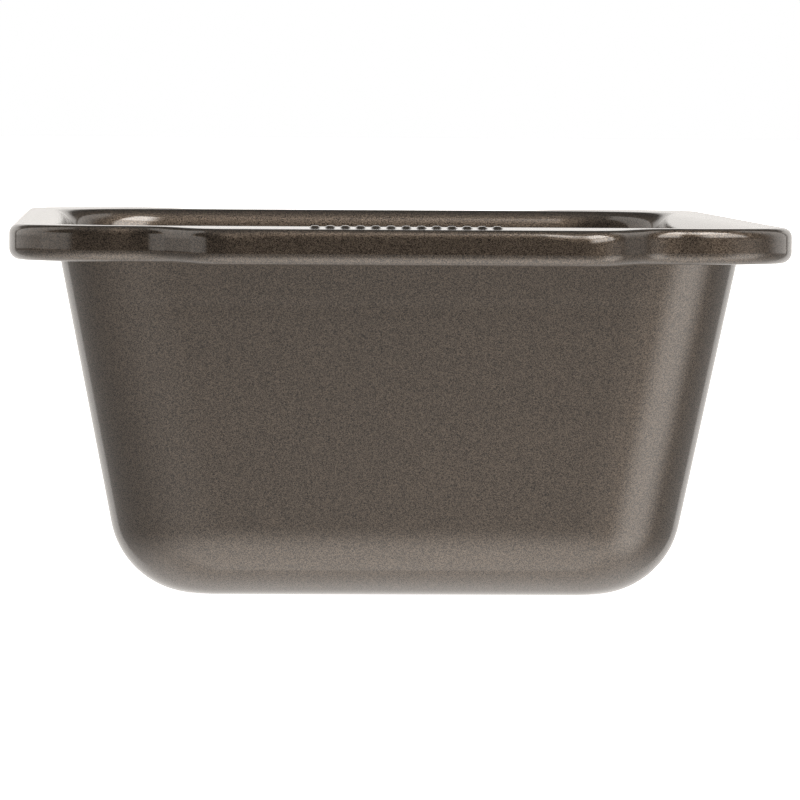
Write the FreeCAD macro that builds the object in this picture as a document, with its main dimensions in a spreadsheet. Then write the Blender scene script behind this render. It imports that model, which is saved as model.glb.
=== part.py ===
import FreeCAD, Part
import math
import os

import Sketcher

# A loaf pan: one drawn and curled steel sheet, stiffened by a wire loop rolled into its rim.
# X runs across the pan, Y along it and Z up. The origin is the middle of the underside.

DIMENSIONS = {
    "sheet_gauge": 0.8,  # coated steel sheet, the same everywhere
    "rim_height": 72.8,  # underside to the top of the flange
    "rim_width": 152.0,  # across the outside of the rolled rim
    "rim_length": 254.0,  # along the outside of the rolled rim, without the two tabs
    "rim_corner": 22.0,  # rim corner radius in plan
    "tab_reach": 12.5,  # how far each end tab stands out of the rim
    "tab_flat": 66.3,  # straight part of a tab's outer edge
    "tab_corner": 11.0,  # plan radius of a tab's corners
    "tab_root": 11.0,  # plan radius of the hollow where a tab's edge leaves the rim
    "mouth_width": 135.0,  # outside of the walls, carried up to the top of the flange
    "mouth_length": 236.6,
    "wall_corner": 21.5,  # plan radius of the wall's corners, the same at every height
    "side_draft": 11.0,  # lean of the long walls, in degrees
    "end_draft": 11.5,  # lean of the end walls, in degrees
    "floor_radius": 17.2,  # outside radius between walls and floor
    "throat_radius": 3.8,  # outside radius between walls and flange
    "hem_depth": 6.9,  # height of the rolled rim
    "hem_width": 4.4,  # width of the rolled rim
    "hem_shoulder": 1.8,  # outside radius where the flange turns down
    "lip_gap": 0.8,  # between the curled edge and the flange above it
    "wire_clearance": 0.05,  # between the wire and the roll around it
    "wire_gap": 1.0,  # between the two butted ends of the wire
    "bead_count": 13,  # raised beads in a row on one tab
    "bead_pitch": 2.9,
    "bead_width": 2.2,
    "bead_length": 4.5,
    "bead_height": 0.45,
    "bead_sink": 0.15,  # how far a bead's widest level lies below the sheet's face
}

START, END, CENTRE = 1, 2, 3  # names of an edge's points in a sketch
ORIGIN = (-1, 1)  # a sketch's own origin
QUADRANTS = ((1, 1), (-1, 1), (-1, -1), (1, -1))
WHOLE = [""]
HEIGHT_MATCH = 1e-4  # how close in height, in mm, an edge lies to count as level with another
RING_MARGIN = 0.01  # how far past the walls, in mm, the search for their edges goes
VOLUME_MATCH = 0.01  # part of a volume that may differ from the one worked out by hand

# Lengths worked out from the driving dimensions, as expressions.
SIDE_LEAN = "Dims.rim_height * tan(Dims.side_draft * 1deg)"
END_LEAN = "Dims.rim_height * tan(Dims.end_draft * 1deg)"
SIDE_STEP = "Dims.sheet_gauge / cos(Dims.side_draft * 1deg)"
END_STEP = "Dims.sheet_gauge / cos(Dims.end_draft * 1deg)"
CURL_RADIUS = "Dims.hem_width / 2"
CURL_HEIGHT = "Dims.rim_height - Dims.hem_depth + Dims.hem_width / 2"

doc = FreeCAD.newDocument("loaf_pan")


def make_sheet():
    """Writes the driving dimensions to the spreadsheet, one alias per row."""
    sheet = doc.addObject("Spreadsheet::Sheet", "Dims")
    for row, (alias, value) in enumerate(DIMENSIONS.items(), start=1):
        sheet.set(f"A{row}", alias)
        sheet.set(f"B{row}", str(value))
        sheet.setAlias(f"B{row}", alias)
    doc.recompute()
    return sheet


def value_of(expression):
    """Evaluates an expression on the spreadsheet, for a sketch's first geometry."""
    return float(sheet.evalExpression(expression))


def new_body(name):
    body = doc.addObject("PartDesign::Body", name)
    body.Label = name
    return body


def origin_item(body, role):
    return next(item for item in body.Origin.OriginFeatures if item.Role == role)


def new_sketch(body, name, role, offset="0"):
    """Adds a sketch on one of the body's own planes, moved along that plane's normal."""
    sketch = body.newObject("Sketcher::SketchObject", name)
    sketch.AttachmentSupport = (origin_item(body, role), WHOLE)
    sketch.MapMode = "FlatFace"
    sketch.setExpression("AttachmentOffset.Base.z", offset)
    return sketch


def add_line(sketch, start, end):
    first, last = FreeCAD.Vector(*start, 0), FreeCAD.Vector(*end, 0)
    return sketch.addGeometry(Part.LineSegment(first, last), False)


def add_arc(sketch, centre, radius, start_angle, end_angle):
    """Adds an arc that runs anticlockwise between two angles in degrees."""
    circle = Part.Circle(FreeCAD.Vector(*centre, 0), FreeCAD.Vector(0, 0, 1), radius)
    angles = math.radians(start_angle), math.radians(end_angle)
    return sketch.addGeometry(Part.ArcOfCircle(circle, *angles), False)


def drive(sketch, kind, places, expression):
    """Adds a dimension and binds it to an expression."""
    index = sketch.addConstraint(Sketcher.Constraint(kind, *places, value_of(expression)))
    sketch.setExpression(f"Constraints[{index}]", expression)


def drive_from_origin(sketch, kind, place, side, expression):
    """Dimensions a point from the origin, towards the side that its sign names."""
    places = (*ORIGIN, *place) if side > 0 else (*place, *ORIGIN)
    drive(sketch, kind, places, expression)


def tangent(sketch, place, other):
    sketch.addConstraint(Sketcher.Constraint("Tangent", *place, *other))


def upright_line(sketch, side, half_width, low, high):
    """Adds a straight edge along Y at a distance from the origin, from low to high."""
    across = side * value_of(half_width)
    line = add_line(sketch, (across, low), (across, high))
    sketch.addConstraint(Sketcher.Constraint("Vertical", line))
    drive_from_origin(sketch, "DistanceX", (line, START), side, half_width)
    return line


def level_line(sketch, side, half_length, left, right):
    """Adds a straight edge along X at a distance from the origin, from left to right."""
    along = side * value_of(half_length)
    line = add_line(sketch, (left, along), (right, along))
    sketch.addConstraint(Sketcher.Constraint("Horizontal", line))
    drive_from_origin(sketch, "DistanceY", (line, START), side, half_length)
    return line


def quadrant_arc(sketch, quadrant, centre, radius, start_angle, end_angle):
    """Adds an arc given for the first quadrant, mirrored into another one.

    Returns the edge, then its points at the given start and at the given end."""
    across, along = quadrant
    if across * along > 0:
        turn = 0 if across > 0 else 180
        angles, points = (start_angle + turn, end_angle + turn), (START, END)
    else:
        turn = 180 if across < 0 else 0
        angles, points = (turn - end_angle, turn - start_angle), (END, START)
    place = (across * centre[0], along * centre[1])
    arc = add_arc(sketch, place, radius, *angles)
    return arc, (arc, points[0]), (arc, points[1])


def draw_rounded_box(sketch, half_width, half_length, radius):
    """Draws a rounded rectangle about the origin."""
    across, along = value_of(half_width), value_of(half_length)
    bend = value_of(radius)
    flat_x, flat_y = across - bend, along - bend
    sides = {side: upright_line(sketch, side, half_width, -flat_y, flat_y) for side in (1, -1)}
    ends = {side: level_line(sketch, side, half_length, -flat_x, flat_x) for side in (1, -1)}
    for quadrant in QUADRANTS:
        side, end = quadrant
        arc, at_side, at_end = quadrant_arc(sketch, quadrant, (flat_x, flat_y), bend, 0, 90)
        tangent(sketch, at_side, (sides[side], END if end > 0 else START))
        tangent(sketch, at_end, (ends[end], END if side > 0 else START))
        drive(sketch, "Radius", (arc,), radius)


def draw_rim(sketch, inset, gap=None):
    """Draws the rim's plan outline, moved inwards by an inset.

    A gap leaves the outline open in the middle of its +X side."""
    half_width = f"Dims.rim_width / 2 - {inset}"
    half_length = f"Dims.rim_length / 2 - {inset}"
    half_tabs = f"Dims.rim_length / 2 + Dims.tab_reach - {inset}"
    corner = f"Dims.rim_corner - {inset}"
    tab_start = "Dims.tab_flat / 2"
    root_start = "Dims.rim_width / 2 - Dims.rim_corner"
    tab_corner = f"Dims.tab_corner - {inset}"
    tab_root = f"Dims.tab_root + {inset}"

    across, along, reach = value_of(half_width), value_of(half_length), value_of(half_tabs)
    corner_r, nose_r, root_r = value_of(corner), value_of(tab_corner), value_of(tab_root)
    near, far = value_of(tab_start), value_of(root_start)
    flat_x, flat_y = across - corner_r, along - corner_r
    rise = along + root_r - (reach - nose_r)
    centres = math.hypot(far - near, rise)
    lean = 180 - math.degrees(math.asin((nose_r + root_r) / centres)
                              + math.atan2(far - near, rise))
    nose_centre, root_centre = (near, reach - nose_r), (far, along + root_r)
    direction = (math.cos(math.radians(lean)), math.sin(math.radians(lean)))

    tabs = {end: level_line(sketch, end, half_tabs, -near, near) for end in (1, -1)}
    left = upright_line(sketch, -1, half_width, -flat_y, flat_y)
    side_ends = {(-1, 1): (left, END), (-1, -1): (left, START)}
    if gap is None:
        right = upright_line(sketch, 1, half_width, -flat_y, flat_y)
        side_ends.update({(1, 1): (right, END), (1, -1): (right, START)})
    else:
        half_gap = value_of(gap)
        upper = upright_line(sketch, 1, half_width, half_gap, flat_y)
        lower = upright_line(sketch, 1, half_width, -flat_y, -half_gap)
        drive_from_origin(sketch, "DistanceY", (upper, START), 1, gap)
        drive_from_origin(sketch, "DistanceY", (lower, END), -1, gap)
        side_ends.update({(1, 1): (upper, END), (1, -1): (lower, START)})

    for quadrant in QUADRANTS:
        side, end = quadrant
        bend, at_side, at_end = quadrant_arc(sketch, quadrant, (flat_x, flat_y), corner_r, 0, 90)
        root, root_slope, root_end = quadrant_arc(
            sketch, quadrant, root_centre, root_r, 180 + lean, 270)
        nose, nose_slope, nose_end = quadrant_arc(sketch, quadrant, nose_centre, nose_r, lean, 90)
        slope = add_line(
            sketch,
            (side * (near + nose_r * direction[0]), end * (reach - nose_r + nose_r * direction[1])),
            (side * (far - root_r * direction[0]), end * (along + root_r - root_r * direction[1])))
        tangent(sketch, at_side, side_ends[quadrant])
        tangent(sketch, at_end, root_end)
        tangent(sketch, nose_slope, (slope, START))
        tangent(sketch, root_slope, (slope, END))
        tangent(sketch, nose_end, (tabs[end], END if side > 0 else START))
        drive(sketch, "Radius", (bend,), corner)
        drive(sketch, "Radius", (nose,), tab_corner)
        drive(sketch, "Radius", (root,), tab_root)
        drive_from_origin(sketch, "DistanceX", (nose, CENTRE), side, tab_start)
        drive_from_origin(sketch, "DistanceX", (root, CENTRE), side, root_start)
        drive_from_origin(sketch, "DistanceY", (bend, CENTRE), end,
                          "Dims.rim_length / 2 - Dims.rim_corner")


def draw_hem(sketch):
    """Draws the rolled rim's section: flange, shoulder, skirt, curl and the edge inside it."""
    gauge, top = value_of("Dims.sheet_gauge"), value_of("Dims.rim_height")
    face, width = value_of("Dims.rim_width / 2"), value_of("Dims.hem_width")
    shoulder, curl = value_of("Dims.hem_shoulder"), value_of(CURL_RADIUS)
    curl_z = value_of(CURL_HEIGHT)
    lip_z = top - gauge - value_of("Dims.lip_gap")
    inner = face - width

    top_face = add_line(sketch, (inner, top), (face - shoulder, top))
    top_bend = add_arc(sketch, (face - shoulder, top - shoulder), shoulder, 0, 90)
    skirt = add_line(sketch, (face, top - shoulder), (face, curl_z))
    roll = add_arc(sketch, (face - curl, curl_z), curl, 180, 360)
    leg = add_line(sketch, (inner, curl_z), (inner, lip_z))
    lip = add_line(sketch, (inner, lip_z), (inner + gauge, lip_z))
    leg_inside = add_line(sketch, (inner + gauge, lip_z), (inner + gauge, curl_z))
    roll_inside = add_arc(sketch, (face - curl, curl_z), curl - gauge, 180, 360)
    skirt_inside = add_line(sketch, (face - gauge, curl_z), (face - gauge, top - shoulder))
    bend_inside = add_arc(sketch, (face - shoulder, top - shoulder), shoulder - gauge, 0, 90)
    under_face = add_line(sketch, (face - shoulder, top - gauge), (inner, top - gauge))
    root = add_line(sketch, (inner, top - gauge), (inner, top))

    tangent(sketch, (top_face, END), (top_bend, END))
    tangent(sketch, (top_bend, START), (skirt, START))
    tangent(sketch, (skirt, END), (roll, END))
    tangent(sketch, (roll, START), (leg, START))
    tangent(sketch, (leg_inside, END), (roll_inside, START))
    tangent(sketch, (roll_inside, END), (skirt_inside, START))
    tangent(sketch, (skirt_inside, END), (bend_inside, START))
    tangent(sketch, (bend_inside, END), (under_face, START))
    corners = (((leg, END), (lip, START)), ((lip, END), (leg_inside, START)),
               ((under_face, END), (root, START)), ((root, END), (top_face, START)))
    for place, other in corners:
        sketch.addConstraint(Sketcher.Constraint("Coincident", *place, *other))
    for edge in (top_face, lip, under_face):
        sketch.addConstraint(Sketcher.Constraint("Horizontal", edge))
    for edge in (skirt, leg, leg_inside, skirt_inside, root):
        sketch.addConstraint(Sketcher.Constraint("Vertical", edge))

    rim_face = "Dims.rim_width / 2"
    drive_from_origin(sketch, "DistanceY", (top_face, START), 1, "Dims.rim_height")
    drive_from_origin(sketch, "DistanceX", (skirt, START), 1, rim_face)
    drive_from_origin(sketch, "DistanceX", (root, START), 1, f"{rim_face} - Dims.hem_width")
    drive(sketch, "Radius", (top_bend,), "Dims.hem_shoulder")
    drive(sketch, "Radius", (roll,), CURL_RADIUS)
    drive_from_origin(sketch, "DistanceY", (roll, CENTRE), 1, CURL_HEIGHT)
    drive(sketch, "Radius", (roll_inside,), f"{CURL_RADIUS} - Dims.sheet_gauge")
    sketch.addConstraint(Sketcher.Constraint("Coincident", roll, CENTRE, roll_inside, CENTRE))
    drive(sketch, "Radius", (bend_inside,), "Dims.hem_shoulder - Dims.sheet_gauge")
    drive_from_origin(sketch, "DistanceY", (under_face, START), 1,
                      "Dims.rim_height - Dims.sheet_gauge")
    drive_from_origin(sketch, "DistanceY", (lip, START), 1,
                      "Dims.rim_height - Dims.sheet_gauge - Dims.lip_gap")


def add_loft(body, kind, name, low_sketch, high_sketch):
    loft = body.newObject(f"PartDesign::{kind}", name)
    loft.Profile = low_sketch
    loft.Sections = [(high_sketch, WHOLE)]
    loft.Ruled = True
    doc.recompute()
    return loft


def add_pipe(body, name, section, path):
    pipe = body.newObject("PartDesign::AdditivePipe", name)
    pipe.Profile = section
    pipe.Spine = (path, [f"Edge{index + 1}" for index in range(len(path.Shape.Edges))])
    doc.recompute()
    return pipe


def mouth_edges(shape, height):
    """Names the edges at one height that run round the walls, not round the rim."""
    reach = value_of("Dims.mouth_length / 2") + RING_MARGIN
    width = value_of("Dims.mouth_width / 2") + RING_MARGIN
    names = []
    for index, edge in enumerate(shape.Edges, start=1):
        box = edge.BoundBox
        level = max(abs(box.ZMin - height), abs(box.ZMax - height)) < HEIGHT_MATCH
        inside = max(-box.XMin, box.XMax) < width and max(-box.YMin, box.YMax) < reach
        if level and inside:
            names.append(f"Edge{index}")
    return names


def add_fillet(body, name, height, radius):
    """Rounds the ring of edges at one height around the walls."""
    base = body.Tip
    fillet = body.newObject("PartDesign::Fillet", name)
    fillet.Base = (base, mouth_edges(base.Shape, value_of(height)))
    fillet.setExpression("Radius", radius)
    doc.recompute()
    return fillet


def add_bead_row(body, kind, name, face_height):
    """Adds or cuts a centred row of flat ellipsoids across the tab that faces -Y."""
    bead = body.newObject(f"PartDesign::{kind}", name)
    bead.AttachmentSupport = (origin_item(body, "XY_Plane"), WHOLE)
    bead.MapMode = "FlatFace"
    bead.setExpression("Radius1", "Dims.bead_height + Dims.bead_sink")
    bead.setExpression("Radius2", "Dims.bead_width / 2")
    bead.setExpression("Radius3", "Dims.bead_length / 2")
    tab_middle = "(Dims.rim_length + Dims.mouth_length) / 4 + Dims.tab_reach / 2"
    bead.setExpression("AttachmentOffset.Base.x", "-(Dims.bead_count - 1) * Dims.bead_pitch / 2")
    bead.setExpression("AttachmentOffset.Base.y", f"-({tab_middle})")
    bead.setExpression("AttachmentOffset.Base.z", f"{face_height} - Dims.bead_sink")
    doc.recompute()
    row = body.newObject("PartDesign::LinearPattern", f"{name}_row")
    row.Originals = [bead]
    row.Direction = (origin_item(body, "X_Axis"), WHOLE)
    row.setExpression("Length", "(Dims.bead_count - 1) * Dims.bead_pitch")
    row.setExpression("Occurrences", "Dims.bead_count")
    body.Tip = row
    doc.recompute()


def make_pan_shell():
    """The pan itself: a deep-drawn sheet whose edge is turned down and rolled under."""
    body = new_body("pan_shell")
    underside = "Dims.rim_height - Dims.sheet_gauge"

    outer_base = new_sketch(body, "outer_base", "XY_Plane")
    draw_rounded_box(outer_base, f"Dims.mouth_width / 2 - {SIDE_LEAN}",
                     f"Dims.mouth_length / 2 - {END_LEAN}", "Dims.wall_corner")
    outer_mouth = new_sketch(body, "outer_mouth", "XY_Plane", "Dims.rim_height")
    draw_rounded_box(outer_mouth, "Dims.mouth_width / 2", "Dims.mouth_length / 2",
                     "Dims.wall_corner")
    add_loft(body, "AdditiveLoft", "outer_walls", outer_base, outer_mouth)

    flange_outline = new_sketch(body, "flange_outline", "XY_Plane", underside)
    draw_rim(flange_outline, CURL_RADIUS)
    flange = body.newObject("PartDesign::Pad", "flange")
    flange.Profile = flange_outline
    flange.setExpression("Length", "Dims.sheet_gauge")
    doc.recompute()

    rise = "(1 - Dims.sheet_gauge / Dims.rim_height)"
    inner_corner = f"Dims.wall_corner - {SIDE_STEP}"
    inner_base = new_sketch(body, "inner_base", "XY_Plane", "Dims.sheet_gauge")
    draw_rounded_box(inner_base, f"Dims.mouth_width / 2 - {SIDE_LEAN} * {rise} - {SIDE_STEP}",
                     f"Dims.mouth_length / 2 - {END_LEAN} * {rise} - {END_STEP}", inner_corner)
    inner_mouth = new_sketch(body, "inner_mouth", "XY_Plane", "Dims.rim_height")
    draw_rounded_box(inner_mouth, f"Dims.mouth_width / 2 - {SIDE_STEP}",
                     f"Dims.mouth_length / 2 - {END_STEP}", inner_corner)
    add_loft(body, "SubtractiveLoft", "cavity", inner_base, inner_mouth)

    add_fillet(body, "floor_inside", "Dims.sheet_gauge", "Dims.floor_radius - Dims.sheet_gauge")
    add_fillet(body, "floor_outside", "0", "Dims.floor_radius")
    add_fillet(body, "throat_outside", underside, "Dims.throat_radius")
    add_fillet(body, "throat_inside", "Dims.rim_height", "Dims.throat_radius + Dims.sheet_gauge")

    rim_outline = new_sketch(body, "rim_outline", "XY_Plane", "Dims.rim_height")
    draw_rim(rim_outline, "0")
    hem_section = new_sketch(body, "hem_section", "XZ_Plane")
    draw_hem(hem_section)
    doc.recompute()
    add_pipe(body, "rolled_rim", hem_section, rim_outline)

    add_bead_row(body, "AdditiveEllipsoid", "bead", "Dims.rim_height")
    add_bead_row(body, "SubtractiveEllipsoid", "bead_hollow", underside)
    return body


def make_rim_wire():
    """The steel wire inside the rolled rim: one loop with its ends butted in a long side."""
    body = new_body("rim_wire")
    half_gap = "Dims.wire_gap / 2"
    path = new_sketch(body, "wire_path", "XY_Plane", CURL_HEIGHT)
    draw_rim(path, CURL_RADIUS, half_gap)
    section = new_sketch(body, "wire_section", "XZ_Plane", f"-({half_gap})")
    place = (value_of(f"Dims.rim_width / 2 - {CURL_RADIUS}"), value_of(CURL_HEIGHT))
    wire_radius = f"{CURL_RADIUS} - Dims.sheet_gauge - Dims.wire_clearance"
    centre, normal = FreeCAD.Vector(*place, 0), FreeCAD.Vector(0, 0, 1)
    circle = section.addGeometry(Part.Circle(centre, normal, value_of(wire_radius)), False)
    drive(section, "Radius", (circle,), wire_radius)
    drive_from_origin(section, "DistanceX", (circle, CENTRE), 1,
                      f"Dims.rim_width / 2 - {CURL_RADIUS}")
    drive_from_origin(section, "DistanceY", (circle, CENTRE), 1, CURL_HEIGHT)
    doc.recompute()
    pipe = add_pipe(body, "wire", section, path)
    expected = section.Shape.Edges[0].Length ** 2 / (4 * math.pi) * path.Shape.Length
    if abs(pipe.Shape.Volume - expected) > VOLUME_MATCH * expected:
        raise RuntimeError("the wire's volume isn't its section times its length")
    return body


def check_document(parts):
    """Stops on any failed object, loose sketch or bad solid."""
    for item in doc.Objects:
        if "Invalid" in item.State or "Error" in item.State:
            raise RuntimeError(f"{item.Name} failed: {item.State}")
        if item.TypeId == "Sketcher::SketchObject":
            if item.solve() != 0:
                raise RuntimeError(f"{item.Name} doesn't solve")
            if not item.FullyConstrained:
                raise RuntimeError(f"{item.Name} isn't fully constrained")
    for part in parts:
        shape = part.Shape
        if shape.isNull() or not shape.isValid() or len(shape.Solids) != 1:
            raise RuntimeError(f"{part.Label} isn't one valid solid")


sheet = make_sheet()
parts = [make_pan_shell(), make_rim_wire()]
doc.recompute()
check_document(parts)
os.makedirs("parts", exist_ok=True)
for part in parts:
    part.Shape.exportStep(f"parts/{part.Label}.step")
    box = part.Shape.BoundBox
    print(part.Label, f"{box.XLength:.2f} x {box.YLength:.2f} x {box.ZLength:.2f} mm,",
          f"volume {part.Shape.Volume:.0f} mm3")
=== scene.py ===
import math

import bmesh
import bpy
from mathutils import Matrix, Vector


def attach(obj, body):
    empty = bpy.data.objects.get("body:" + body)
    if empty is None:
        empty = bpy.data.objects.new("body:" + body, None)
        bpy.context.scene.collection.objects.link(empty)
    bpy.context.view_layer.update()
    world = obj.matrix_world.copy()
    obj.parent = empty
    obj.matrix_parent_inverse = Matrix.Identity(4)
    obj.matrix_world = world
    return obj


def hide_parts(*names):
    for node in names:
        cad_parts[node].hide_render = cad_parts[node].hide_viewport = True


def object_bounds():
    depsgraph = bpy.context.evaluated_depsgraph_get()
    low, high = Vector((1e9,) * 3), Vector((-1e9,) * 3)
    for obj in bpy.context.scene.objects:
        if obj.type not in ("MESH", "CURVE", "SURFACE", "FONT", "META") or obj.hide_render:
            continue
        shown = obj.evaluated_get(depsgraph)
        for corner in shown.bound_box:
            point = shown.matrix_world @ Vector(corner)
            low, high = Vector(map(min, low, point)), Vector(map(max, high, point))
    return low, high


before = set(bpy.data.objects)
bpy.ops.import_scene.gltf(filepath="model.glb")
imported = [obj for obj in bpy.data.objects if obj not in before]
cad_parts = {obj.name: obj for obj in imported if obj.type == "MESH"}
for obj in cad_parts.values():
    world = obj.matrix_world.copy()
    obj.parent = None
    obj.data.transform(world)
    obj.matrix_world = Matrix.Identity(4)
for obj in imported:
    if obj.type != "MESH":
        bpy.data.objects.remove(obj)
cad_low, cad_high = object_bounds()

MM = 0.001

# Sizes shared with the CAD model, in metres. The outside box comes from the frame.
BEAD_HEIGHT = 0.45 * MM
RIM_HALF_WIDTH = cad_high.x
TAB_END = cad_high.y
TOP = cad_high.z - BEAD_HEIGHT
GAUGE = 0.8 * MM
TAB_REACH = 12.5 * MM
RIM_HALF_LENGTH = TAB_END - TAB_REACH
RIM_CORNER = 22 * MM
TAB_HALF_FLAT = 33.15 * MM
TAB_CORNER = 11 * MM
TAB_ROOT = 11 * MM
SIDE_REACH = 8.5 * MM
END_REACH = 8.7 * MM
WALL_CORNER = 21.5 * MM
SIDE_SLOPE = math.tan(math.radians(11.0))
END_SLOPE = math.tan(math.radians(11.5))
FLOOR_RADIUS = 17.2 * MM
THROAT_RADIUS = 3.8 * MM
SHOULDER = 1.8 * MM
HEM_DEPTH = 6.9 * MM
CURL = 2.2 * MM
CURL_DROP = HEM_DEPTH - CURL
BEAD_COUNT = 13
BEAD_PITCH = 2.9 * MM

# Sizes of the drawn sheet only: what pressing and curling leave on a real pan.
SOFT_SHOULDER = 2.6 * MM  # shoulder radius on the corners of a tab
SOFT_REACH = 9 * MM  # how far it fades into the straight edge
LIP_GAP = 0.95 * MM
TAB_DROOP = 0.26 * MM
FAR_LIFT = 0.3 * MM
BEAD_HALF_WIDTH = 1.15 * MM
BEAD_HALF_LENGTH = 2.25 * MM
BEAD_EDGE = 0.5  # part of a bead's half width that its sloping side takes
DRAW_LINE_DROP = 15.6 * MM
DRAW_LINE_DEPTH = 0.045 * MM
DRAW_LINE_WIDTH = 0.7 * MM

# How finely the sheet is divided, along the plan outline and across the section.
SIDE_STEPS = 22
RIM_CORNER_STEPS = 26
TAB_CURVE_STEPS = 16
TAB_SLOPE_STEPS = 6
TAB_EDGE_STEPS = 6
PLAIN_TAB_STEP = 1.5 * MM
BEADED_TAB_STEP = 0.24 * MM
FLOOR_CURVE_STEPS = 18
THROAT_STEPS = 9
SHOULDER_STEPS = 9
CURL_STEPS = 16
MERGE_DISTANCE = 1e-7

# Colours and grain sizes. A texture scale is the number of features in a metre.
FLAKE_DARK = (0.018, 0.0135, 0.0100, 1)
FLAKE_BRIGHT = (0.158, 0.1235, 0.0950, 1)
FLAKE_SCALE = 8500.0
CLOUD_SCALE = 6500.0
DRIFT_SCALE = 14.0
STEEL_CLEAN = (0.5, 0.5, 0.49, 1)
STEEL_DULL = (0.34, 0.33, 0.31, 1)
DRAW_MARK_SCALE = 900.0
DULL_PATCH_SCALE = 120.0
WHITE = (1, 1, 1, 1)
WARM_WHITE = (1, 0.965, 0.925, 1)
PALE_GREY = (0.86, 0.86, 0.86, 1)

# The studio. The floor lies just under the pan so that the two surfaces don't share a plane.
FLOOR_SIZE = 60
FLOOR_GAP = 0.05 * MM
SENSOR_WIDTH = 36
LENS = 304.1
CAMERA_PLACE = Vector((-52.1 * MM, -1415.7 * MM, TOP + 20.6 * MM))
CAMERA_YAW = 0.0397
CAMERA_PITCH = 0.0415
CAMERA_ROLL = 0.006


# --- plan outlines -------------------------------------------------------------------------------

class Column:
    """One line of points across the sheet: a place on the walls and the place on the rim it meets.

    The wall place is a share of the straight part and a direction, so it fits any height."""

    def __init__(self, along, normal, rim, rim_normal, soft):
        self.along = along  # signed share of the straight part, in x and y
        self.normal = normal  # plan direction square to the wall
        self.rim = rim
        self.rim_normal = rim_normal
        self.soft = soft  # 1 on the corners of a tab, 0 away from them
        self.slope = SIDE_SLOPE * abs(normal[0]) + END_SLOPE * abs(normal[1])
        self.lean = math.hypot(1, self.slope)


def spread(count, end=True):
    """Fractions from 0 to 1 in equal steps, with or without the last one."""
    return [index / count for index in range(count + 1 if end else count)]


def smooth(value):
    """A smooth step from 0 to 1, held at its ends."""
    value = max(0.0, min(1.0, value))
    return value * value * (3 - 2 * value)


def quadrant_columns(bead_step):
    """The columns from the middle of the +X side round to the middle of the +Y end."""
    columns = []
    flat_x, flat_y = RIM_HALF_WIDTH - RIM_CORNER, RIM_HALF_LENGTH - RIM_CORNER
    for t in spread(SIDE_STEPS, end=False):
        rim = (RIM_HALF_WIDTH, t * flat_y)
        columns.append(Column((1, t), (1, 0), rim, (1, 0), 0))
    for t in spread(RIM_CORNER_STEPS, end=False):
        angle = t * math.pi / 2
        normal = (math.cos(angle), math.sin(angle))
        rim = (flat_x + RIM_CORNER * normal[0], flat_y + RIM_CORNER * normal[1])
        columns.append(Column((1, 1), normal, rim, normal, 0))

    nose_y, root_y = TAB_END - TAB_CORNER, RIM_HALF_LENGTH + TAB_ROOT
    across, rise = flat_x - TAB_HALF_FLAT, root_y - nose_y
    turn = math.asin((TAB_CORNER + TAB_ROOT) / math.hypot(across, rise))
    turn += math.atan2(across, rise) - math.pi / 2
    toward = (math.sin(turn), math.cos(turn))
    slope_low = (flat_x - TAB_ROOT * toward[0], root_y - TAB_ROOT * toward[1])
    slope_high = (TAB_HALF_FLAT + TAB_CORNER * toward[0], nose_y + TAB_CORNER * toward[1])
    edge = []
    for t in spread(TAB_CURVE_STEPS, end=False):
        angle = t * turn
        place = (flat_x - TAB_ROOT * math.sin(angle), root_y - TAB_ROOT * math.cos(angle))
        edge.append((place, angle, 0.0))
    for t in spread(TAB_SLOPE_STEPS, end=False):
        place = (slope_low[0] + (slope_high[0] - slope_low[0]) * t,
                 slope_low[1] + (slope_high[1] - slope_low[1]) * t)
        edge.append((place, turn, 0.0))
    for t in spread(TAB_CURVE_STEPS, end=False):
        angle = (1 - t) * turn
        place = (TAB_HALF_FLAT + TAB_CORNER * math.sin(angle),
                 nose_y + TAB_CORNER * math.cos(angle))
        edge.append((place, angle, smooth(t)))
    bead_zone = (BEAD_COUNT + 2) * BEAD_PITCH / 2
    steps = max(2, round(bead_zone / bead_step))
    coarse = [TAB_HALF_FLAT + (bead_zone - TAB_HALF_FLAT) * t
              for t in spread(TAB_EDGE_STEPS, end=False)]
    fine = [bead_zone * (1 - t) for t in spread(steps, end=False)]
    for x in coarse + fine + [0.0]:
        edge.append(((x, TAB_END), 0.0, smooth(1 - (TAB_HALF_FLAT - x) / SOFT_REACH)))
    for place, angle, soft in edge:
        normal = (math.sin(angle), math.cos(angle))
        columns.append(Column((place[0] / flat_x, 1), (0, 1), place, normal, soft))
    return columns


def mirrored(column, x_sign, y_sign):
    """The same column in another quarter of the pan."""
    def flip(pair):
        return (pair[0] * x_sign, pair[1] * y_sign)

    return Column(flip(column.along), flip(column.normal), flip(column.rim),
                  flip(column.rim_normal), column.soft)


def all_columns():
    """Every column once round the pan, anticlockwise, finer where the beads are."""
    far = quadrant_columns(PLAIN_TAB_STEP)
    near = quadrant_columns(BEADED_TAB_STEP)
    turns = [far, [mirrored(c, -1, 1) for c in reversed(far[:-1])],
             [mirrored(c, -1, -1) for c in near[1:]],
             [mirrored(c, 1, -1) for c in reversed(near[1:-1])]]
    return [column for turn in turns for column in turn]


COLUMNS = all_columns()


def wall_plan(column, z, outward=0.0):
    """The plan place on the outside of the walls at a height, moved square to the wall."""
    drop = TOP - z
    half_width = RIM_HALF_WIDTH - SIDE_REACH - drop * SIDE_SLOPE
    half_length = RIM_HALF_LENGTH - END_REACH - drop * END_SLOPE
    reach = WALL_CORNER + outward
    return (column.along[0] * (half_width - WALL_CORNER) + column.normal[0] * reach,
            column.along[1] * (half_length - WALL_CORNER) + column.normal[1] * reach)


def rim_plan(column, inset):
    """The plan place at a distance inside the rim's outline."""
    return (column.rim[0] - column.rim_normal[0] * inset,
            column.rim[1] - column.rim_normal[1] * inset)


# --- rings: each takes a column and gives a point ------------------------------------------------

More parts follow.
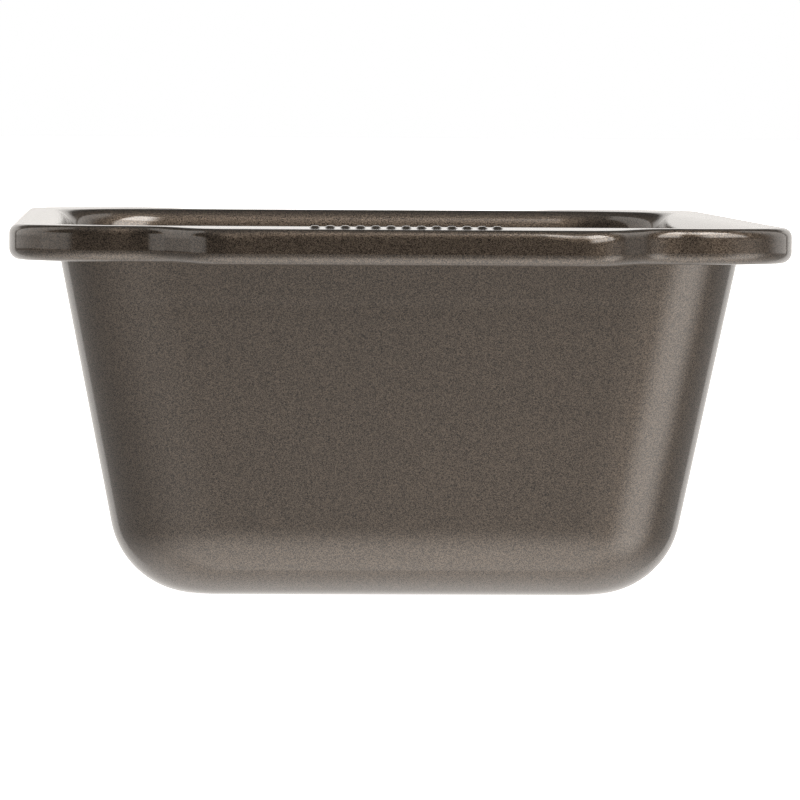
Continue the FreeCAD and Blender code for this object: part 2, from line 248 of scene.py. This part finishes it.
def floor_curve(column, radius, share):
    """The round between floor and wall; share runs from 0 on the floor to 1 on the wall."""
    x, y = wall_plan(column, FLOOR_RADIUS, -FLOOR_RADIUS * column.lean)
    angle = share * (math.pi / 2 - math.atan(column.slope))
    reach = radius * math.sin(angle)
    return Vector((x + column.normal[0] * reach, y + column.normal[1] * reach,
                   FLOOR_RADIUS - radius * math.cos(angle)))


def throat_curve(column, radius, share):
    """The round between wall and flange; share runs from 0 on the wall to 1 on the flange."""
    centre_z = TOP - GAUGE - THROAT_RADIUS
    x, y = wall_plan(column, centre_z, THROAT_RADIUS * column.lean)
    start = math.atan(column.slope)
    angle = start + share * (math.pi / 2 - start)
    reach = -radius * math.cos(angle)
    return Vector((x + column.normal[0] * reach, y + column.normal[1] * reach,
                   centre_z + radius * math.sin(angle)))


def floor_point(column, radius, share):
    """The flat floor; share runs from 0 on the middle line to 1 at the start of the round."""
    edge = floor_curve(column, radius, 0)
    spine = abs(floor_curve(COLUMNS[0], radius, 0).x)
    end = abs(floor_curve(far_end_column(), radius, 0).y)
    middle = max(-(end - spine), min(end - spine, edge.y))
    return Vector((edge.x * share, middle + (edge.y - middle) * share, edge.z))


def far_end_column():
    """The column at the middle of the +Y end."""
    return min(COLUMNS, key=lambda c: (-c.rim[1], abs(c.rim[0])))


def wall_point(column, floor_radius, throat_radius, share):
    """The straight part of a wall, with the faint line that drawing leaves on both ends."""
    low = floor_curve(column, floor_radius, 1)
    high = throat_curve(column, throat_radius, 0)
    point = low.lerp(high, share)
    end_share = abs(column.normal[1]) ** 4
    offset = (point.z - (TOP - DRAW_LINE_DROP)) / DRAW_LINE_WIDTH
    dent = DRAW_LINE_DEPTH * end_share * math.exp(-offset * offset)
    return point - Vector((column.normal[0] * dent, column.normal[1] * dent, 0))


def shoulder_radius(column):
    """The radius of the rim's outer top edge."""
    return SHOULDER + (SOFT_SHOULDER - SHOULDER) * column.soft


def droop(column, share=1.0):
    """How far the flange has come down by a share of its way from the walls to the rim.

    The tabs lean down a little, and the far sides and corners stand up a little."""
    on_tab = smooth((abs(column.rim[1]) - RIM_HALF_LENGTH) / TAB_REACH)
    far = smooth(0.5 + column.rim[1] / (2 * RIM_HALF_LENGTH))
    return share * (TAB_DROOP * on_tab - FAR_LIFT * far * (1 - on_tab))


def bead_rise(x, y):
    """Height of the row of flat oval beads at a place on the -Y tab."""
    middle = -(TAB_END + RIM_HALF_LENGTH - END_REACH) / 2
    along = (y - middle) / BEAD_HALF_LENGTH
    nearest = round(x / BEAD_PITCH)
    if abs(nearest) > BEAD_COUNT // 2 or abs(along) > 1:
        return 0.0
    across = (x - nearest * BEAD_PITCH) / BEAD_HALF_WIDTH
    depth = (1 - math.hypot(across, along)) / BEAD_EDGE
    return BEAD_HEIGHT * smooth(depth)


def flange_point(column, drop, share):
    """The flange; share runs from 0 at the throat to 1 at the shoulder."""
    start = throat_curve(column, THROAT_RADIUS, 1)
    x, y = rim_plan(column, shoulder_radius(column))
    x, y = start.x + (x - start.x) * share, start.y + (y - start.y) * share
    return Vector((x, y, TOP - drop - droop(column, share) + bead_rise(x, y)))


def rim_round(column, centre_inset, centre_drop, radius, angle):
    """A point on a round of the rolled rim; the angle is 90 degrees up and 0 outwards."""
    x, y = rim_plan(column, centre_inset - radius * math.cos(angle))
    return Vector((x, y, TOP - centre_drop - droop(column) + radius * math.sin(angle)))


def rim_wall(column, inset, high, low, share):
    """An upright part of the rim, from one drop below the flange to another."""
    x, y = rim_plan(column, inset)
    return Vector((x, y, TOP - droop(column) - high - (low - high) * share))


# Where the rings lie. The walls are fine for the draw line and the flange for the beads.
FLOOR_SHARES = [0, 0.3, 0.6, 0.85, 0.97]
WALL_SHARES = [0.012, 0.06] + [0.06 + 0.88 * t for t in spread(44)[1:]] + [0.988]
FLANGE_SHARES = ([0.02, 0.12, 0.22] + [0.31 + 0.3 * t for t in spread(22)]
                 + [0.68, 0.78, 0.89, 0.98])


def sheet_side(inner):
    """The rings of one face of the sheet, from the middle of the floor to the lip of the hem."""
    floor_radius = FLOOR_RADIUS - (GAUGE if inner else 0)
    throat_radius = THROAT_RADIUS + (GAUGE if inner else 0)
    drop = 0 if inner else GAUGE
    rings = []
    rings += [lambda c, s=s: floor_point(c, floor_radius, s) for s in FLOOR_SHARES]
    rings += [lambda c, s=s: floor_curve(c, floor_radius, s) for s in spread(FLOOR_CURVE_STEPS)]
    rings += [lambda c, s=s: wall_point(c, floor_radius, throat_radius, s) for s in WALL_SHARES]
    rings += [lambda c, s=s: throat_curve(c, throat_radius, s) for s in spread(THROAT_STEPS)]
    rings += [lambda c, s=s: flange_point(c, drop, s) for s in FLANGE_SHARES]
    for s in spread(SHOULDER_STEPS):
        angle = (1 - s) * math.pi / 2
        rings.append(lambda c, a=angle: rim_round(
            c, shoulder_radius(c), shoulder_radius(c), shoulder_radius(c) - drop, a))
    for s in (0.1, 0.5, 0.9):
        rings.append(lambda c, s=s: rim_wall(c, drop, shoulder_radius(c), CURL_DROP, s))
    for s in spread(CURL_STEPS):
        rings.append(lambda c, a=-s * math.pi: rim_round(c, CURL, CURL_DROP, CURL - drop, a))
    for s in (0.3, 1):
        rings.append(lambda c, s=s: rim_wall(
            c, 2 * CURL - drop, CURL_DROP, GAUGE + LIP_GAP, s))
    return rings


def make_shell():
    """The whole sheet as one closed mesh: inside face out to the lip, then back underneath."""
    rings = sheet_side(inner=True) + list(reversed(sheet_side(inner=False)))
    count = len(COLUMNS)
    points = [ring(column) for ring in rings for column in COLUMNS]
    faces = []
    for ring in range(len(rings) - 1):
        for index in range(count):
            following = (index + 1) % count
            low, high = ring * count, (ring + 1) * count
            faces.append((low + index, low + following, high + following, high + index))
    mesh = bpy.data.meshes.new("pan_sheet")
    mesh.from_pydata(points, [], faces)
    shape = bmesh.new()
    shape.from_mesh(mesh)
    bmesh.ops.remove_doubles(shape, verts=shape.verts, dist=MERGE_DISTANCE)
    bmesh.ops.recalc_face_normals(shape, faces=shape.faces)
    for face in shape.faces:
        face.smooth = True
    shape.to_mesh(mesh)
    shape.free()
    piece = bpy.data.objects.new("pan_sheet", mesh)
    bpy.context.collection.objects.link(piece)
    return piece


# --- materials -----------------------------------------------------------------------------------

class Graph:
    """A small helper that adds nodes and joins them."""

    def __init__(self, tree):
        self.tree = tree
        tree.nodes.clear()

    def add(self, kind, inputs=None, **settings):
        node = self.tree.nodes.new(kind)
        for name, value in settings.items():
            setattr(node, name, value)
        for name, value in (inputs or {}).items():
            if isinstance(value, bpy.types.NodeSocket):
                self.tree.links.new(value, node.inputs[name])
            else:
                node.inputs[name].default_value = value
        return node

    def math(self, operation, first, second=0.0):
        return self.add("ShaderNodeMath", {0: first, 1: second}, operation=operation).outputs[0]

    def ramp(self, value, low, high, start=0.0, end=1.0):
        """A smooth step of a value from one level to another."""
        node = self.add("ShaderNodeMapRange", {
            "Value": value, "From Min": low, "From Max": high, "To Min": start, "To Max": end},
            interpolation_type="SMOOTHSTEP")
        return node.outputs["Result"]


def coating_material():
    """A warm grey-brown nonstick coating: fine metal flake under a clear, glossy film."""
    material = bpy.data.materials.new("nonstick_coating")
    material.use_nodes = True
    graph = Graph(material.node_tree)
    place = graph.add("ShaderNodeTexCoord").outputs["Object"]
    flakes = graph.add("ShaderNodeTexVoronoi", {"Vector": place, "Scale": FLAKE_SCALE})
    flake = graph.add("ShaderNodeSeparateColor", {"Color": flakes.outputs["Color"]}).outputs[0]
    cloud = graph.add("ShaderNodeTexNoise", {
        "Vector": place, "Scale": CLOUD_SCALE, "Detail": 1.0, "Roughness": 0.5}).outputs["Fac"]
    drift = graph.add("ShaderNodeTexNoise", {
        "Vector": place, "Scale": DRIFT_SCALE, "Detail": 2.0}).outputs["Fac"]
    grain = graph.math("ADD", graph.math("MULTIPLY", flake, 0.7),
                       graph.math("MULTIPLY", cloud, 0.3))
    grain = graph.ramp(grain, 0.2, 0.85)
    colour = graph.add("ShaderNodeMix", {
        "Factor": grain, "A": FLAKE_DARK, "B": FLAKE_BRIGHT}, data_type="RGBA")
    tint = graph.ramp(drift, 0.3, 0.7, 0.94, 1.06)
    colour = graph.add("ShaderNodeMix", {
        "Factor": 1.0, "A": colour.outputs["Result"], "B": tint},
        data_type="RGBA", blend_type="MULTIPLY")
    bump = graph.add("ShaderNodeBump", {
        "Height": grain, "Strength": 0.25, "Distance": 0.04 * MM})
    film = graph.add("ShaderNodeBump", {
        "Height": cloud, "Strength": 0.06, "Distance": 0.03 * MM})
    shader = graph.add("ShaderNodeBsdfPrincipled", {
        "Base Color": colour.outputs["Result"], "Metallic": 1.0,
        "Roughness": graph.ramp(cloud, 0.3, 0.7, 0.42, 0.52),
        "Normal": bump.outputs["Normal"],
        "Coat Weight": 1.0, "Coat Roughness": 0.09, "Coat IOR": 1.6,
        "Coat Normal": film.outputs["Normal"]})
    graph.add("ShaderNodeOutputMaterial", {"Surface": shader.outputs["BSDF"]})
    return material


def wire_material():
    """Plain drawn steel wire with faint lengthwise draw marks and a trace of dull scale."""
    material = bpy.data.materials.new("drawn_wire")
    material.use_nodes = True
    graph = Graph(material.node_tree)
    place = graph.add("ShaderNodeTexCoord").outputs["Object"]
    marks = graph.add("ShaderNodeTexNoise", {
        "Vector": place, "Scale": DRAW_MARK_SCALE, "Detail": 3.0}).outputs["Fac"]
    dull = graph.add("ShaderNodeTexNoise", {
        "Vector": place, "Scale": DULL_PATCH_SCALE, "Detail": 4.0}).outputs["Fac"]
    colour = graph.add("ShaderNodeMix", {
        "Factor": graph.ramp(dull, 0.4, 0.65), "A": STEEL_CLEAN, "B": STEEL_DULL},
        data_type="RGBA")
    bump = graph.add("ShaderNodeBump", {
        "Height": marks, "Strength": 0.3, "Distance": 0.03 * MM})
    shader = graph.add("ShaderNodeBsdfPrincipled", {
        "Base Color": colour.outputs["Result"], "Metallic": 1.0,
        "Roughness": graph.ramp(marks, 0.3, 0.7, 0.28, 0.45),
        "Normal": bump.outputs["Normal"]})
    graph.add("ShaderNodeOutputMaterial", {"Surface": shader.outputs["BSDF"]})
    return material


def floor_material():
    """Plain white paper that glows enough to be as white as the background."""
    material = bpy.data.materials.new("pale_floor")
    material.use_nodes = True
    graph = Graph(material.node_tree)
    shader = graph.add("ShaderNodeBsdfPrincipled", {
        "Base Color": PALE_GREY, "Roughness": 0.8,
        "Emission Color": WHITE, "Emission Strength": 1.0})
    graph.add("ShaderNodeOutputMaterial", {"Surface": shader.outputs["BSDF"]})
    return material


# --- studio --------------------------------------------------------------------------------------

def make_floor():
    """A wide pale floor that only the camera sees: the world stands in for it in reflections."""
    bpy.ops.mesh.primitive_plane_add(size=FLOOR_SIZE, location=(0, 0, -FLOOR_GAP))
    floor = bpy.context.object
    floor.name = "studio_floor"
    floor.data.materials.append(floor_material())
    floor.visible_diffuse = False
    floor.visible_glossy = False
    floor.visible_shadow = False


def make_world():
    """A white studio round the pan, open and dark behind the camera, with one large soft box.

    The bearing is 0 towards -Y, where the camera stands, and grows towards +X. It and the
    height above the horizon are in degrees. The camera itself sees plain white."""
    world = bpy.data.worlds.new("studio")
    bpy.context.scene.world = world
    world.use_nodes = True
    graph = Graph(world.node_tree)
    ray = graph.add("ShaderNodeTexCoord").outputs["Generated"]
    axes = graph.add("ShaderNodeSeparateXYZ", {0: ray}).outputs
    x, y, z = axes[0], axes[1], axes[2]
    bearing = graph.math("ARCTAN2", x, graph.math("MULTIPLY", y, -1.0))
    bearing = graph.math("MULTIPLY", bearing, 180 / math.pi)
    height = graph.math("MULTIPLY", graph.math("ARCSINE", z), 180 / math.pi)

    def patch(left, right, low, high, fades, level):
        """A rectangle of light that fades at the left, at the right, and at low and high."""
        fade_left, fade_right, fade_height = fades
        value = graph.ramp(bearing, left, left + fade_left)
        value = graph.math("MULTIPLY", value, graph.ramp(bearing, right - fade_right, right, 1, 0))
        value = graph.math("MULTIPLY", value, graph.ramp(height, low, low + fade_height))
        value = graph.math("MULTIPLY", value, graph.ramp(height, high - fade_height, high, 1, 0))
        return graph.math("MULTIPLY", value, level)

    lights = [
        patch(-138.5, -88, -4, 66, (1.5, 8, 5), 1.05),  # white wall on the left
        patch(-96, -50, -7, 24, (8, 10, 7), 1.05),  # its lower front part
        patch(92, 138.5, -8, 60, (28, 1.5, 5), 1.05),  # white wall on the right
        patch(2, 72, 42, 76, (28, 8, 8), 8.6),  # soft box above, in front and to the right
        patch(14, 74, 5, 50, (16, 8, 14), 4.6),  # the soft box's dimmer lower part
        patch(38, 106, -60, 8, (30, 30, 30), 1.9),  # floor lit by the soft box
    ]
    aside = graph.math("ABSOLUTE", bearing)
    back = graph.ramp(aside, 141, 142.5)
    back = graph.math("MULTIPLY", back, graph.ramp(height, 16, 26, 1.0, 0))
    ground = graph.math("MULTIPLY", graph.ramp(height, -10, -4, 1, 0),
                        graph.ramp(height, -60, -16, 1.95, 0.53))
    ground = graph.math("MULTIPLY", ground, graph.ramp(aside, 35, 100, 1, 0.68))
    ceiling = graph.ramp(height, 30, 90, 0.05, 0.3)
    room = graph.math("MAXIMUM", ceiling, ground)
    room = graph.math("MAXIMUM", room, back)
    for light in lights:
        room = graph.math("ADD", room, light)
    seen = graph.add("ShaderNodeLightPath").outputs["Is Camera Ray"]
    lit = graph.add("ShaderNodeBackground", {"Color": WARM_WHITE, "Strength": room})
    plain = graph.add("ShaderNodeBackground", {"Color": WHITE, "Strength": 1.0})
    mix = graph.add("ShaderNodeMixShader", {
        0: seen, 1: lit.outputs[0], 2: plain.outputs[0]})
    graph.add("ShaderNodeOutputWorld", {"Surface": mix.outputs[0]})


def make_camera():
    """A long lens just above the rim, in front of the -Y end and a little to the left."""
    data = bpy.data.cameras.new("camera")
    data.sensor_width = SENSOR_WIDTH
    data.lens = LENS
    camera = bpy.data.objects.new("camera", data)
    bpy.context.collection.objects.link(camera)
    yaw, pitch, roll = CAMERA_YAW, CAMERA_PITCH, CAMERA_ROLL
    ahead = Vector((math.sin(yaw) * math.cos(pitch), math.cos(yaw) * math.cos(pitch),
                    -math.sin(pitch)))
    level = Vector((math.cos(yaw), -math.sin(yaw), 0))
    upward = level.cross(ahead)
    right = level * math.cos(roll) + upward * math.sin(roll)
    up = upward * math.cos(roll) - level * math.sin(roll)
    turn = Matrix((right, up, -ahead)).transposed().to_4x4()
    camera.matrix_world = Matrix.Translation(CAMERA_PLACE) @ turn
    bpy.context.scene.camera = camera


def main():
    """The sheet, the wire's material and the studio. The wire's mesh stays the frame's own."""
    shell = make_shell()
    shell.data.materials.append(coating_material())
    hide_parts("pan_shell")
    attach(shell, "root")

    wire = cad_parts["rim_wire"]
    wire.data.materials.clear()
    wire.data.materials.append(wire_material())

    make_floor()
    make_world()
    make_camera()
    bpy.context.scene.view_settings.view_transform = "Standard"


main()
